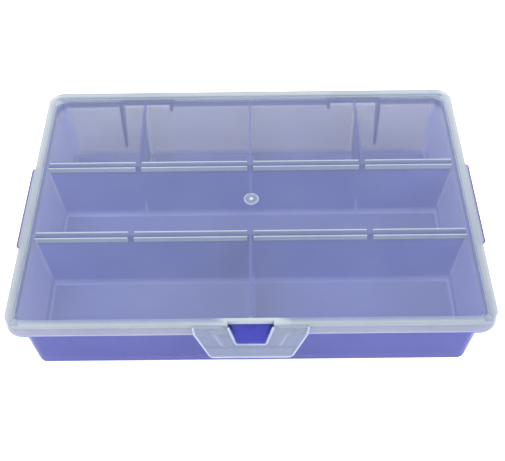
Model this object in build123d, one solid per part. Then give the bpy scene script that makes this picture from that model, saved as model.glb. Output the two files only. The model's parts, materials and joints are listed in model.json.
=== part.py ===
from build123d import *
import math
import os

# ------------------------------------------------------------------
# Compartment tray with a hinged lid and a front window latch.
# Millimetres. +X right, +Y to the hinge side, +Z up.
# Origin: centre of the tray's flat underside.
# ------------------------------------------------------------------

# overall
LID_LENGTH = 239.0            # skirt bottom, outside
LID_WIDTH = 165.2
LID_TOP_Z = 46.3              # top of the raised rim
LID_CORNER_R = 8.5
SKIRT_BOTTOM_Z = 38.6
SKIRT_LEAN = 0.45 / 7.7       # inward lean of the skirt per mm of height
LID_WALL = 1.2

# lid panel and rim
RIM_INNER_HALF_X = 114.8      # inner edge of the raised rim
RIM_INNER_HALF_Y = 77.8
RIM_INNER_CORNER_R = 3.6
PANEL_TOP_Z = 44.8
PANEL_BOTTOM_Z = 43.6
RIM_UNDERSIDE_Z = 45.0
RIM_CHANNEL_HALF_X = 116.1    # where the hollow under the rim begins
RIM_CHANNEL_HALF_Y = 79.1

# tray shell
BASE_LENGTH = 223.6
BASE_WIDTH = 148.8
BASE_CORNER_R = 4.6
TRAY_TOP_Z = 43.3
WALL_DRAFT = 3.0 / 38.0       # outward lean of the walls per mm of height
WALL = 1.5
FLOOR = 1.5
BASE_EDGE_R = 1.0
INNER_EDGE_R = 1.5
LEDGE_TOP_Z = 38.4
LEDGE_T = 1.4
LEDGE_INSET = 0.6             # ledge edge inside the skirt's outer face

# dividers
REAR_LONG_Y = 25.2
FRONT_LONG_Y = -24.4
CROSS_X = 62.4
DIVIDER_TOP_T = 1.3
DIVIDER_BOTTOM_T = 1.8

# seal ribs under the lid
RIB_T = 0.8
RIB_OFFSET = 1.95             # rib centre to divider centre
RIB_BOTTOM_Z = 40.4
RIB_END_X = 112.4
RIB_GAP = 3.2                 # gap where a cross divider may pass

# side grips
GRIP_HALF_LENGTH = 30.0
GRIP_OUTER_X = 123.1
GRIP_CHAMFER = 3.0

# rear hinges
PIN_Y = 85.4
PIN_Z = 35.0
PIN_R = 1.5
EAR_R = 2.4
OUTER_EAR_X = 77.0            # inner face of the long outer ear
INNER_EAR_X = 48.4            # outer face of the short inner lug
EAR_T = 1.8
OUTER_EAR_FOOT_Z = 7.0
INNER_LUG_ROOT_Z = 35.4        # the lug hangs under the ledge
KNUCKLE_CLEARANCE = 0.07      # radial, on the pin
KNUCKLE_R = 2.9
KNUCKLE_SIDE_GAP = 0.7

# latch
LATCH_BACK_Y = -83.0
LATCH_T = 1.4
LATCH_TOP_Z = 45.9
LATCH_TOP_HALF = 28.0
LATCH_SHOULDER_Z = 41.0
LATCH_SHOULDER_HALF = 27.5
LATCH_BEND_Z = 29.5
LATCH_BEND_HALF = 23.7
LIP_BOTTOM_Z = 22.9
LIP_BOTTOM_HALF = 20.2
LIP_FLARE = 2.0
WINDOW_TOP_HALF = 10.4
WINDOW_BOTTOM_HALF = 7.1
WINDOW_BOTTOM_Z = 32.3
NOTCH_HALF = 11.2
NOTCH_Y = -79.8
STRIP_T = 0.4
STRIP_IN = 13.2
STRIP_OUT = 27.4

# catch on the tray
CATCH_BOTTOM_Z = 32.75
CATCH_TOP_Z = 43.3
CATCH_NOSE_Y = -84.2
CATCH_NOSE_H = 1.6
CATCH_TOP_Y = -79.8
CATCH_TOP_HALF = 9.9
CATCH_BOTTOM_HALF = 6.5

# gate mark
GATE_X = 0.6
GATE_Y = -1.7
GATE_R = 4.2
GATE_DISC_H = 0.15
GATE_NUB_R = 1.2
GATE_H = 0.4

PARTS = "parts"


def rounded_block(lx, ly, r, z0, z1, lean=0.0):
    """Rounded rectangle block; a positive lean widens it going up."""
    sketch = Plane.XY.offset(z0) * RectangleRounded(lx, ly, r)
    return extrude(sketch, amount=z1 - z0, taper=-math.degrees(math.atan(lean)))


def prism_x(points_yz, x0, x1):
    """Polygon given as (y, z), extruded along X from x0 to x1."""
    plane = Plane(origin=(x0, 0, 0), x_dir=(0, 1, 0), z_dir=(1, 0, 0))
    return extrude(plane * make_face(Polyline(*points_yz, close=True)), amount=x1 - x0)


def prism_y(points_xz, y0, y1):
    """Polygon given as (x, z), extruded along Y from y0 to y1."""
    plane = Plane(origin=(0, y1, 0), x_dir=(1, 0, 0), z_dir=(0, -1, 0))
    return extrude(plane * make_face(Polyline(*points_xz, close=True)), amount=y1 - y0)


def box_between(x0, x1, y0, y1, z0, z1):
    return Pos((x0 + x1) / 2, (y0 + y1) / 2, (z0 + z1) / 2) * Box(x1 - x0, y1 - y0, z1 - z0)


def largest(shape):
    solids = sorted(shape.solids(), key=lambda s: s.volume)
    return solids[-1]


def mirrored(shape):
    return mirror(shape, about=Plane.YZ)


# ------------------------------------------------------------------ tray
outer_plain = rounded_block(BASE_LENGTH, BASE_WIDTH, BASE_CORNER_R, 0, TRAY_TOP_Z, WALL_DRAFT)
outer = fillet(outer_plain.edges().group_by(Axis.Z)[0], BASE_EDGE_R)

inner_grow = 2 * (FLOOR * WALL_DRAFT - WALL)
cavity = rounded_block(BASE_LENGTH + inner_grow, BASE_WIDTH + inner_grow,
                       BASE_CORNER_R - 1.2, FLOOR, TRAY_TOP_Z + 2, WALL_DRAFT)
cavity = fillet(cavity.edges().group_by(Axis.Z)[0], INNER_EDGE_R)

ledge = rounded_block(LID_LENGTH - 2 * LEDGE_INSET, LID_WIDTH - 2 * LEDGE_INSET,
                      LID_CORNER_R - LEDGE_INSET, LEDGE_TOP_Z - LEDGE_T, LEDGE_TOP_Z)
# the ledge is open between the two ears of each hinge, where the lid's clip turns
hinge_gap = box_between(INNER_EAR_X, OUTER_EAR_X, 70, 90, LEDGE_TOP_Z - LEDGE_T - 1, LEDGE_TOP_Z + 1)
ledge = ledge - hinge_gap - mirrored(hinge_gap)
tray_shell = largest(outer - cavity)
lid_seat_ledge = largest(ledge - outer_plain - cavity)

# two long dividers
half_b, half_t = DIVIDER_BOTTOM_T / 2, DIVIDER_TOP_T / 2


def long_slab(y):
    return prism_x([(y - half_b, 0.5), (y + half_b, 0.5), (y + half_t, TRAY_TOP_Z),
                    (y - half_t, TRAY_TOP_Z)], -125, 125)


def cross_slab(x, y0, y1):
    return prism_y([(x - half_b, 0.5), (x + half_b, 0.5), (x + half_t, TRAY_TOP_Z),
                    (x - half_t, TRAY_TOP_Z)], y0, y1)


rear_long = largest(long_slab(REAR_LONG_Y) & cavity)
front_long = largest(long_slab(FRONT_LONG_Y) & cavity)
rear_cross = {
    name: largest((cross_slab(x, REAR_LONG_Y, 90) & cavity) - rear_long)
    for name, x in (("rear_left_cross_divider", -CROSS_X),
                    ("rear_centre_cross_divider", 0.0),
                    ("rear_right_cross_divider", CROSS_X))
}
front_cross = largest((cross_slab(0.0, -90, FRONT_LONG_Y) & cavity) - front_long)

# side grips, flush on the ledge's edge
LEDGE_X = LID_LENGTH / 2 - LEDGE_INSET
grip_outline = [
    (LEDGE_X, -GRIP_HALF_LENGTH),
    (GRIP_OUTER_X, -GRIP_HALF_LENGTH + GRIP_CHAMFER),
    (GRIP_OUTER_X, GRIP_HALF_LENGTH - GRIP_CHAMFER),
    (LEDGE_X, GRIP_HALF_LENGTH),
]
right_grip = extrude(Plane.XY.offset(LEDGE_TOP_Z - LEDGE_T)
                     * make_face(Polyline(*grip_outline, close=True)), amount=LEDGE_T)
right_grip = fillet(right_grip.edges().filter_by(Axis.Z).group_by(Axis.X)[-1], 1.2)

# catch: a wedge, square underneath, sloping back to the wall at its top
catch_profile = [
    (-74.0, CATCH_BOTTOM_Z),
    (CATCH_NOSE_Y, CATCH_BOTTOM_Z),
    (CATCH_NOSE_Y, CATCH_BOTTOM_Z + CATCH_NOSE_H),
    (CATCH_TOP_Y, CATCH_TOP_Z),
    (-74.0, CATCH_TOP_Z),
]
catch_front = [
    (-CATCH_BOTTOM_HALF, CATCH_BOTTOM_Z), (CATCH_BOTTOM_HALF, CATCH_BOTTOM_Z),
    (CATCH_TOP_HALF, CATCH_TOP_Z), (-CATCH_TOP_HALF, CATCH_TOP_Z),
]
catch = prism_x(catch_profile, -15, 15) & prism_y(catch_front, -90, -70)
catch = largest(catch - outer - ledge)


# hinge brackets
def pin_round(a0, a1, step=15):
    return [(PIN_Y + EAR_R * math.cos(math.radians(a)), PIN_Z + EAR_R * math.sin(math.radians(a)))
            for a in range(a0, a1 + 1, step)]


LEDGE_UNDER_Z = LEDGE_TOP_Z - LEDGE_T


def plate(outline, x0, x1):
    return largest(prism_x(outline, x0, x1) - outer_plain - cavity)


# outer ear: gusset plate, flat under the ledge and running down the wall
outer_ear = plate([(72.0, OUTER_EAR_FOOT_Z), (76.6, OUTER_EAR_FOOT_Z)] + pin_round(-25, 65)
                  + [(PIN_Y - 0.6, LEDGE_UNDER_Z), (72.0, LEDGE_UNDER_Z)],
                  OUTER_EAR_X, OUTER_EAR_X + EAR_T)
# inner lug: short arm under the ledge
inner_ear = plate([(72.0, INNER_LUG_ROOT_Z)] + pin_round(-115, 65)
                  + [(PIN_Y - 0.6, LEDGE_UNDER_Z), (72.0, LEDGE_UNDER_Z)],
                  INNER_EAR_X - EAR_T, INNER_EAR_X)
right_brackets = Compound(children=[outer_ear, inner_ear])
left_brackets = Compound(children=[mirrored(outer_ear), mirrored(inner_ear)])

pin_plane = Plane(origin=(INNER_EAR_X, PIN_Y, PIN_Z), x_dir=(0, 1, 0), z_dir=(1, 0, 0))
right_pin = extrude(pin_plane * Circle(PIN_R), amount=OUTER_EAR_X - INNER_EAR_X)
left_pin = mirrored(right_pin)

# ------------------------------------------------------------------- lid
skirt_h = LID_TOP_Z - SKIRT_BOTTOM_Z
lid_out = rounded_block(LID_LENGTH, LID_WIDTH, LID_CORNER_R, SKIRT_BOTTOM_Z, LID_TOP_Z, -SKIRT_LEAN)
lid_out = fillet(lid_out.edges().group_by(Axis.Z)[-1], 1.0)
lid_in = rounded_block(LID_LENGTH - 2 * LID_WALL, LID_WIDTH - 2 * LID_WALL,
                       LID_CORNER_R - LID_WALL, SKIRT_BOTTOM_Z, RIM_UNDERSIDE_Z, -SKIRT_LEAN)
panel_well = rounded_block(2 * RIM_INNER_HALF_X, 2 * RIM_INNER_HALF_Y, RIM_INNER_CORNER_R,
                           PANEL_TOP_Z, LID_TOP_Z + 1)
panel_block = rounded_block(2 * RIM_CHANNEL_HALF_X, 2 * RIM_CHANNEL_HALF_Y, RIM_INNER_CORNER_R + 1,
                            PANEL_BOTTOM_Z, LID_TOP_Z - 0.5)
lid = (lid_out - lid_in) + panel_block - panel_well

# notch for the catch: the skirt turns in on both sides and behind it
pocket = box_between(-NOTCH_HALF - LID_WALL, NOTCH_HALF + LID_WALL, -84.0, NOTCH_Y + LID_WALL,
                     PANEL_BOTTOM_Z, LID_TOP_Z)
side_return = box_between(NOTCH_HALF, NOTCH_HALF + LID_WALL, -84.0, NOTCH_Y,
                          SKIRT_BOTTOM_Z, LID_TOP_Z)
returns = side_return + mirrored(side_return)
lid = lid + ((pocket + returns) & lid_out)
lid = lid - box_between(-NOTCH_HALF, NOTCH_HALF, -86, NOTCH_Y, SKIRT_BOTTOM_Z - 1, LID_TOP_Z + 1)
lid_shell = largest(lid)


# seal ribs, broken where a cross divider may pass
def rib_spans():
    edges = [-RIB_END_X, -CROSS_X, 0.0, CROSS_X, RIB_END_X]
    spans = []
    for i in range(4):
        lo = edges[i] + (RIB_GAP / 2 if i > 0 else 0)
        hi = edges[i + 1] - (RIB_GAP / 2 if i < 3 else 0)
        spans.append((lo, hi))
    return spans


def seal_ribs(y):
    solids = []
    for lo, hi in rib_spans():
        for side in (-1, 1):
            yc = y + side * RIB_OFFSET
            solids.append(box_between(lo, hi, yc - RIB_T / 2, yc + RIB_T / 2,
                                      RIB_BOTTOM_Z, PANEL_BOTTOM_Z))
    return Compound(children=solids)


rear_ribs = seal_ribs(REAR_LONG_Y)
front_ribs = seal_ribs(FRONT_LONG_Y)

# hinge knuckle: a C clip round the pin on a web from the skirt
k_x0 = INNER_EAR_X + KNUCKLE_SIDE_GAP
k_x1 = OUTER_EAR_X - KNUCKLE_SIDE_GAP
bore_r = PIN_R + KNUCKLE_CLEARANCE
knuckle_plane = Plane(origin=(k_x0, PIN_Y, PIN_Z), x_dir=(0, 1, 0), z_dir=(1, 0, 0))
knuckle_round = extrude(knuckle_plane * Circle(KNUCKLE_R), amount=k_x1 - k_x0)
knuckle_bore = extrude(knuckle_plane * Circle(bore_r), amount=k_x1 - k_x0)
web = prism_x([(PIN_Y - 4.8, 39.6), (PIN_Y - 4.8, 44.6), (PIN_Y - 2.1, 44.2), (PIN_Y + 0.6, 41.4),
               (PIN_Y + 2.4, 38.0), (PIN_Y + 2.8, PIN_Z + 0.7), (PIN_Y, PIN_Z + 1.9),
               (PIN_Y - 1.9, PIN_Z + 2.0), (PIN_Y - 2.0, 39.0)], k_x0, k_x1)
mouth = prism_x([(PIN_Y, PIN_Z), (PIN_Y - 6, PIN_Z + 1.1), (PIN_Y - 6, PIN_Z - 6),
                 (PIN_Y + 0.6, PIN_Z - 6)], k_x0 - 1, k_x1 + 1)
knuckle = (knuckle_round + web) - knuckle_bore - mouth - lid_out
right_knuckle = largest(knuckle)
left_knuckle = mirrored(right_knuckle)

# round injection mark: a shallow disc with a nub in its middle
gate_plane = Plane.XY.offset(PANEL_TOP_Z)
gate_mark = (extrude(gate_plane * (Pos(GATE_X, GATE_Y) * Circle(GATE_R)), amount=GATE_DISC_H)
             + extrude(gate_plane * (Pos(GATE_X, GATE_Y) * Circle(GATE_NUB_R)), amount=GATE_H))

# living hinge strips of the latch
strip = box_between(STRIP_IN, STRIP_OUT, LATCH_BACK_Y, -79.2, LATCH_TOP_Z - STRIP_T, LATCH_TOP_Z)
strip = largest(strip - lid_shell)
strips = Compound(children=[strip, mirrored(strip)])

# ----------------------------------------------------------------- latch
front_y = LATCH_BACK_Y - LATCH_T
side_profile = [
    (LATCH_BACK_Y, LATCH_TOP_Z), (LATCH_BACK_Y, LATCH_BEND_Z),
    (LATCH_BACK_Y - LIP_FLARE, LIP_BOTTOM_Z + 0.3), (front_y - LIP_FLARE, LIP_BOTTOM_Z),
    (front_y, LATCH_BEND_Z), (front_y, LATCH_TOP_Z),
]
outline = [
    (-LATCH_TOP_HALF, LATCH_TOP_Z), (-LATCH_SHOULDER_HALF, LATCH_SHOULDER_Z),
    (-LATCH_BEND_HALF, LATCH_BEND_Z), (-LIP_BOTTOM_HALF, LIP_BOTTOM_Z - 0.5),
    (LIP_BOTTOM_HALF, LIP_BOTTOM_Z - 0.5), (LATCH_BEND_HALF, LATCH_BEND_Z),
    (LATCH_SHOULDER_HALF, LATCH_SHOULDER_Z), (LATCH_TOP_HALF, LATCH_TOP_Z),
]
window = [
    (-WINDOW_BOTTOM_HALF, WINDOW_BOTTOM_Z), (WINDOW_BOTTOM_HALF, WINDOW_BOTTOM_Z),
    (WINDOW_TOP_HALF, LATCH_TOP_Z + 1), (-WINDOW_TOP_HALF, LATCH_TOP_Z + 1),
]
latch = prism_x(side_profile, -30, 30) & prism_y(outline, -90, -78)
latch = latch - prism_y(window, -90, -78)
latch = largest(latch)

# ---------------------------------------------------------------- output
nodes = {
    "tray_shell": tray_shell,
    "lid_seat_ledge": lid_seat_ledge,
    "rear_long_divider": rear_long,
    "front_long_divider": front_long,
    **rear_cross,
    "front_cross_divider": front_cross,
    "left_side_grip": mirrored(right_grip),
    "right_side_grip": right_grip,
    "latch_catch": catch,
    "left_hinge_brackets": left_brackets,
    "right_hinge_brackets": right_brackets,
    "left_hinge_pin": left_pin,
    "right_hinge_pin": right_pin,
    "lid_shell": lid_shell,
    "rear_seal_ribs": rear_ribs,
    "front_seal_ribs": front_ribs,
    "left_hinge_knuckle": left_knuckle,
    "right_hinge_knuckle": right_knuckle,
    "lid_gate_mark": gate_mark,
    "latch_hinge_strips": strips,
    "front_latch": latch,
}

os.makedirs(PARTS, exist_ok=True)
for name, shape in nodes.items():
    shape.label = name
    export_step(shape, os.path.join(PARTS, name + ".step"))
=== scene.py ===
import json
import math

import bmesh
import bpy
import numpy as np
from mathutils import Matrix, Vector, geometry, noise


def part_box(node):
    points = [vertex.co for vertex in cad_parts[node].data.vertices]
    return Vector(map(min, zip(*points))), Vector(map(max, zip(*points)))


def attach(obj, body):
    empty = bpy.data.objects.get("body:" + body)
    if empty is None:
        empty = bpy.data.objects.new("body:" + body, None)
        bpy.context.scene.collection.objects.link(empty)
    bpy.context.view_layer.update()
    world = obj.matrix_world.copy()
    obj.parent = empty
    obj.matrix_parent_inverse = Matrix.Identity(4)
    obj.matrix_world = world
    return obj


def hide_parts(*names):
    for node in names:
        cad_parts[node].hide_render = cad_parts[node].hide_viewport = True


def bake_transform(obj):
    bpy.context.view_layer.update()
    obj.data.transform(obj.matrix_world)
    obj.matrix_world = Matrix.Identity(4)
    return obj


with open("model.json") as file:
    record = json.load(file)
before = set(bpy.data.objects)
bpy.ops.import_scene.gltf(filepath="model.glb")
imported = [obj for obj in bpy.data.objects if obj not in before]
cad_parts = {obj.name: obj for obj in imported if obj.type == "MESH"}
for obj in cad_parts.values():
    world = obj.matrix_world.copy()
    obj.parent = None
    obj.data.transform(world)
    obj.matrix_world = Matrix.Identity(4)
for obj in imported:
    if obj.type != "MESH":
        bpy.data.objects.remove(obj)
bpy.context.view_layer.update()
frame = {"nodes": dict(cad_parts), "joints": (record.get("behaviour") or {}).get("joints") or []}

MM = 0.001
scene = bpy.context.scene

# ---------------------------------------------------------------- sizes (mm)
# read from the CAD nodes, so that the looks stay on the frame
_lo, _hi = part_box("lid_shell")
LID_HX = _hi.x / MM
LID_HY = _hi.y / MM
LID_TOP = _hi.z / MM
SKIRT_Z = _lo.z / MM
_lo, _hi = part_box("lid_seat_ledge" if "lid_seat_ledge" in frame["nodes"] else "tray_shell")
LEDGE_HX = _hi.x / MM
LEDGE_HY = _hi.y / MM
TRAY_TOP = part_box("tray_shell")[1].z / MM
REAR_Y = sum(v.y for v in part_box("rear_long_divider")) / 2 / MM
FRONT_Y = sum(v.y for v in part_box("front_long_divider")) / 2 / MM
CROSS_X = sum(v.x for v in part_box("rear_right_cross_divider")) / 2 / MM
_lo, _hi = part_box("right_side_grip")
GRIP_X = _hi.x / MM
GRIP_HALF = _hi.y / MM
LEDGE_TOP = _hi.z / MM
LEDGE_BOTTOM = _lo.z / MM
_lo, _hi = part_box("rear_seal_ribs")
RIB_X = _hi.x / MM
RIB_BOTTOM = _lo.z / MM
PANEL_BOTTOM = _hi.z / MM
_lo, _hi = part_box("lid_gate_mark")
PANEL_TOP = _lo.z / MM
GATE_X = (_lo.x + _hi.x) / 2 / MM
GATE_Y = (_lo.y + _hi.y) / 2 / MM
_lo, _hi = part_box("right_hinge_pin")
GAP_IN, GAP_OUT = _lo.x / MM, _hi.x / MM
_lo, _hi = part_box("right_hinge_knuckle")
CLIP_IN, CLIP_OUT = _lo.x / MM, _hi.x / MM
_lo, _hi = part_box("front_latch")
LATCH_TOP = _hi.z / MM
LATCH_LOW = _lo.z / MM
LATCH_BACK = frame["joints"][1]["pos_m"][1] / MM
PIN_Y = frame["joints"][0]["pos_m"][1] / MM
PIN_Z = frame["joints"][0]["pos_m"][2] / MM

BASE_HX, BASE_HY, BASE_R = 111.8, 74.4, 4.6
DRAFT = 3.0 / 38.0
WALL = 1.5
FLOOR = 1.5


# ------------------------------------------------------------------- helpers
def new_object(name, verts, faces, body, smooth=38.0):
    mesh = bpy.data.meshes.new(name)
    mesh.from_pydata([(x * MM, y * MM, z * MM) for x, y, z in verts], [], faces)
    bm = bmesh.new()
    bm.from_mesh(mesh)
    bmesh.ops.remove_doubles(bm, verts=bm.verts, dist=1e-7)
    bmesh.ops.recalc_face_normals(bm, faces=bm.faces)
    limit = math.radians(smooth)
    for face in bm.faces:
        face.smooth = True
    for edge in bm.edges:
        if len(edge.link_faces) == 2:
            edge.smooth = edge.calc_face_angle(0.0) < limit
    bm.to_mesh(mesh)
    bm.free()
    obj = bpy.data.objects.new(name, mesh)
    scene.collection.objects.link(obj)
    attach(obj, body)
    return obj


def weighted(obj):
    mod = obj.modifiers.new("normals", "WEIGHTED_NORMAL")
    mod.keep_sharp = True
    mod.weight = 80
    return obj


def bevelled(obj, width, segments=3, angle=30):
    mod = obj.modifiers.new("edges", "BEVEL")
    mod.width = width * MM
    mod.segments = segments
    mod.limit_method = "ANGLE"
    mod.angle_limit = math.radians(angle)
    mod.harden_normals = True
    return obj


def bridge(rows, closed=True):
    """Quads between successive rings of equal length; returns faces over a running index."""
    faces = []
    n = len(rows[0])
    for k in range(len(rows) - 1):
        a, b = k * n, (k + 1) * n
        for i in range(n if closed else n - 1):
            j = (i + 1) % n
            faces.append((a + i, a + j, b + j, b + i))
    return faces


CORNER_SEGMENTS = 12


# a step in the front wall, outside to inside: (dx, share in y, share in z)
STEP = ((0.9, 0, 0), (0.30, 0, 0), (0.08, 0.05, 0), (0.0, 0.16, 0), (0.0, 0.84, 0),
        (-0.04, 0.97, 0), (-0.12, 1, 0.04), (-0.30, 1, 0.96), (-0.50, 1, 1), (-0.9, 1, 1))


def ring(hx, hy, r, z, side_y=(), long_x=(), jog=None, bump=None, rear=None):
    """Rounded rectangle, counter-clockwise from the front of the right side.
    jog = (x, y, z) steps the middle of the front side to that y and z; bump(y) pushes the
    sides out; rear = ([(x, share)], y of the gaps)."""
    pts = []

    def corner(cx, cy, a0):
        for i in range(CORNER_SEGMENTS + 1):
            a = math.radians(a0 + 90 * i / CORNER_SEGMENTS)
            pts.append((cx + r * math.cos(a), cy + r * math.sin(a), z))

    for y in side_y:
        pts.append((hx + (bump(y) if bump else 0.0), y, z))
    corner(hx - r, hy - r, 0)
    if rear is None:
        for x in reversed(long_x):
            pts.append((x, hy, z))
    else:
        cols, gap_y = rear
        for x, share in reversed(cols):
            pts.append((x, hy + (gap_y - hy) * share, z))
    corner(-(hx - r), hy - r, 90)
    for y in reversed(side_y):
        pts.append((-hx - (bump(y) if bump else 0.0), y, z))
    corner(-(hx - r), -(hy - r), 180)
    if jog is None:
        for x in long_x:
            pts.append((x, -hy, z))
    else:
        xj, yj, zj = jog
        for x in long_x:
            if x < -14:
                pts.append((x, -hy, z))
        for dx, ty, tz in STEP:
            pts.append((-(xj + dx), -hy + (yj + hy) * ty, z + (zj - z) * tz))
        for x in long_x:
            if abs(x) < 10:
                pts.append((x, yj, zj))
        for dx, ty, tz in reversed(STEP):
            pts.append((xj + dx, -hy + (yj + hy) * ty, z + (zj - z) * tz))
        for x in long_x:
            if x > 14:
                pts.append((x, -hy, z))
    corner(hx - r, -(hy - r), 270)
    return pts


def scaled(points, k, z):
    return [(x * k, y * k, z) for x, y, _ in points]


def flatten(rows):
    return [p for row in rows for p in row]


# --------------------------------------------------------------- materials
def node_tools(name):
    mat = bpy.data.materials.new(name)
    mat.use_nodes = True
    nt = mat.node_tree
    nt.nodes.clear()
    out = nt.nodes.new("ShaderNodeOutputMaterial")
    bsdf = nt.nodes.new("ShaderNodeBsdfPrincipled")
    nt.links.new(bsdf.outputs["BSDF"], out.inputs["Surface"])
    coord = nt.nodes.new("ShaderNodeTexCoord")
    return mat, nt, bsdf, coord


def add_noise(nt, coord, scale, detail=3.0, rough=0.5, stretch=None):
    n = nt.nodes.new("ShaderNodeTexNoise")
    n.inputs["Scale"].default_value = scale
    n.inputs["Detail"].default_value = detail
    n.inputs["Roughness"].default_value = rough
    if stretch:
        m = nt.nodes.new("ShaderNodeMapping")
        m.inputs["Scale"].default_value = stretch
        nt.links.new(coord.outputs["Object"], m.inputs["Vector"])
        nt.links.new(m.outputs["Vector"], n.inputs["Vector"])
    else:
        nt.links.new(coord.outputs["Object"], n.inputs["Vector"])
    return n


def ramp(nt, source, stops):
    r = nt.nodes.new("ShaderNodeValToRGB")
    e = r.color_ramp.elements
    while len(e) < len(stops):
        e.new(0.5)
    for k, (pos, col) in enumerate(stops):
        e[k].position = pos
        e[k].color = col
    nt.links.new(source, r.inputs["Fac"])
    return r


def remap(nt, source, lo, hi, to_lo, to_hi):
    m = nt.nodes.new("ShaderNodeMapRange")
    m.inputs["From Min"].default_value = lo
    m.inputs["From Max"].default_value = hi
    m.inputs["To Min"].default_value = to_lo
    m.inputs["To Max"].default_value = to_hi
    nt.links.new(source, m.inputs["Value"])
    return m


def add_bump(nt, bsdf, height, strength, distance):
    b = nt.nodes.new("ShaderNodeBump")
    b.inputs["Strength"].default_value = strength
    b.inputs["Distance"].default_value = distance
    nt.links.new(height, b.inputs["Height"])
    nt.links.new(b.outputs["Normal"], bsdf.inputs["Normal"])
    return b


def multiply_color(nt, a, b, fac=1.0):
    m = nt.nodes.new("ShaderNodeMix")
    m.data_type = "RGBA"
    m.blend_type = "MULTIPLY"
    m.inputs["Factor"].default_value = fac
    nt.links.new(a, m.inputs["A"])
    nt.links.new(b, m.inputs["B"])
    return m.outputs["Result"]


def linked_attribute(nt, name):
    node = nt.nodes.new("ShaderNodeAttribute")
    node.attribute_name = name
    return node


def polypropylene(name, dark, light, haze_lo, haze_hi, rough, grain_scale=800.0, grain=0.10,
                  cloud_scale=22.0, stretch=None, shine=0.5):
    """Moulded polypropylene. The colour drifts softly with the melt flow, the skin is satin with
    a fine grain; the mesh carries how milky (haze) each wall is and a per-point colour factor that
    paints light and shade onto it, partly standing in for light scattered in the plastic."""
    mat, nt, bsdf, coord = node_tools(name)
    cloud = add_noise(nt, coord, cloud_scale, 4.0, 0.55)
    flow = add_noise(nt, coord, 9.0, 2.0, 0.5, stretch or (1.0, 2.5, 5.0))
    drift = ramp(nt, cloud.outputs["Fac"], [(0.30, dark + (1,)), (0.70, light + (1,))])
    band = ramp(nt, flow.outputs["Fac"], [(0.36, (0.955, 0.955, 0.965, 1)), (0.64, (1, 1, 1, 1))])
    tone_and_painted_light = linked_attribute(nt, "tone_and_painted_light")
    colour = multiply_color(nt, multiply_color(nt, drift.outputs["Color"], band.outputs["Color"]),
                            tone_and_painted_light.outputs["Color"])
    nt.links.new(colour, bsdf.inputs["Base Color"])
    haze = linked_attribute(nt, "haze")
    spread = remap(nt, cloud.outputs["Fac"], 0.3, 0.7, haze_lo, haze_hi)
    alpha = nt.nodes.new("ShaderNodeMath")
    alpha.operation = "MULTIPLY"
    alpha.use_clamp = True
    nt.links.new(haze.outputs["Fac"], alpha.inputs[0])
    nt.links.new(spread.outputs["Result"], alpha.inputs[1])
    nt.links.new(alpha.outputs["Value"], bsdf.inputs["Alpha"])
    fine = add_noise(nt, coord, grain_scale, 3.0, 0.6)
    gloss = remap(nt, fine.outputs["Fac"], 0.3, 0.7, rough - 0.03, rough + 0.05)
    nt.links.new(gloss.outputs["Result"], bsdf.inputs["Roughness"])
    bsdf.inputs["IOR"].default_value = 1.49
    bsdf.inputs["Specular IOR Level"].default_value = shine
    add_bump(nt, bsdf, fine.outputs["Fac"], grain, 0.00003)
    return mat


MAT_TRAY = polypropylene("tray_polypropylene", (0.112, 0.146, 0.650), (0.127, 0.164, 0.690),
                         0.97, 1.03, 0.42, grain=0.03, shine=0.25)
MAT_LID = polypropylene("lid_polypropylene", (0.325, 0.370, 0.415), (0.350, 0.396, 0.442),
                        0.95, 1.05, 0.36, grain=0.03, cloud_scale=30.0, shine=0.4)
MAT_LATCH = polypropylene("latch_polypropylene", (0.305, 0.355, 0.475), (0.330, 0.382, 0.505),
                          0.95, 1.05, 0.36, grain=0.03, cloud_scale=30.0, shine=0.4)


def paint(obj, fn):
    """Per-point haze and a colour factor that paints light and shade, from fn(x, y, z) in mm -> (haze, (r, g,
    b)).
    """
    mesh = obj.data
    mesh.attributes.new("tone_and_painted_light", "FLOAT_COLOR", "POINT")
    mesh.attributes.new("haze", "FLOAT", "POINT")
    n = len(mesh.vertices)
    t = np.ones((n, 4), np.float32)
    h = np.ones(n, np.float32)
    for i, v in enumerate(mesh.vertices):
        h[i], c = fn(v.co.x / MM, v.co.y / MM, v.co.z / MM)
        t[i, :3] = c
    mesh.attributes["tone_and_painted_light"].data.foreach_set("color", t.ravel())
    mesh.attributes["haze"].data.foreach_set("value", h)
    return obj


WHITE = (1.0, 1.0, 1.0)


# -------------------------------------------------------------------- tray
def grip_bump(y):
    a = abs(y)
    t = (GRIP_HALF - a) / 3.0
    t = min(1.0, max(0.0, t))
    return (GRIP_X - LEDGE_HX) * (t * t * (3 - 2 * t) * 0.35 + t * 0.65)


TRAY_SIDE = [-60, -45, -31.0, -30.2, -29.6, -28.8, -28.0, -27.4, -26.8, -26.0, -20, -10, 0,
             10, 20, 26.0, 26.8, 27.4, 28.0, 28.8, 29.6, 30.2, 31.0, 45, 60]
TRAY_LONG = [-100, -85, -80, -78, -76, -62, -50, -47, -45, -30, -15, -5, 0, 5, 15, 30, 45, 47, 50, 62,
             76, 78, 80, 85, 100]


def rear_columns():
    """X of the points on the rear wall, with 1 where the ledge is left out for the hinge clip."""
    cols = [(0.0, 0), (20.0, 0), (40.0, 0), (46.0, 0), (47.6, 0)]
    for x, s0, s1 in ((GAP_IN, 0, 1), (GAP_OUT, 1, 0)):
        cols += [(x - 0.30, s0), (x - 0.09, s0 + (s1 - s0) * 0.03), (x, (s0 + s1) * 0.5),
                 (x + 0.09, s1 + (s0 - s1) * 0.03), (x + 0.30, s1)]
        if x == GAP_IN:
            cols += [(56.0, 1), (62.4, 1), (69.0, 1)]
    cols += [(79.0, 0), (90.0, 0), (100.0, 0)]
    return [(-x, t) for x, t in reversed(cols[1:])] + cols


REAR_COLS = rear_columns()


def tray_ring(hx, hy, r, z, bump=False, ledge=False):
    gap = BASE_HY + DRAFT * z + 0.01 if ledge else hy
    return ring(hx, hy, r, z, TRAY_SIDE, TRAY_LONG, bump=grip_bump if bump else None,
                rear=(REAR_COLS, gap))


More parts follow.
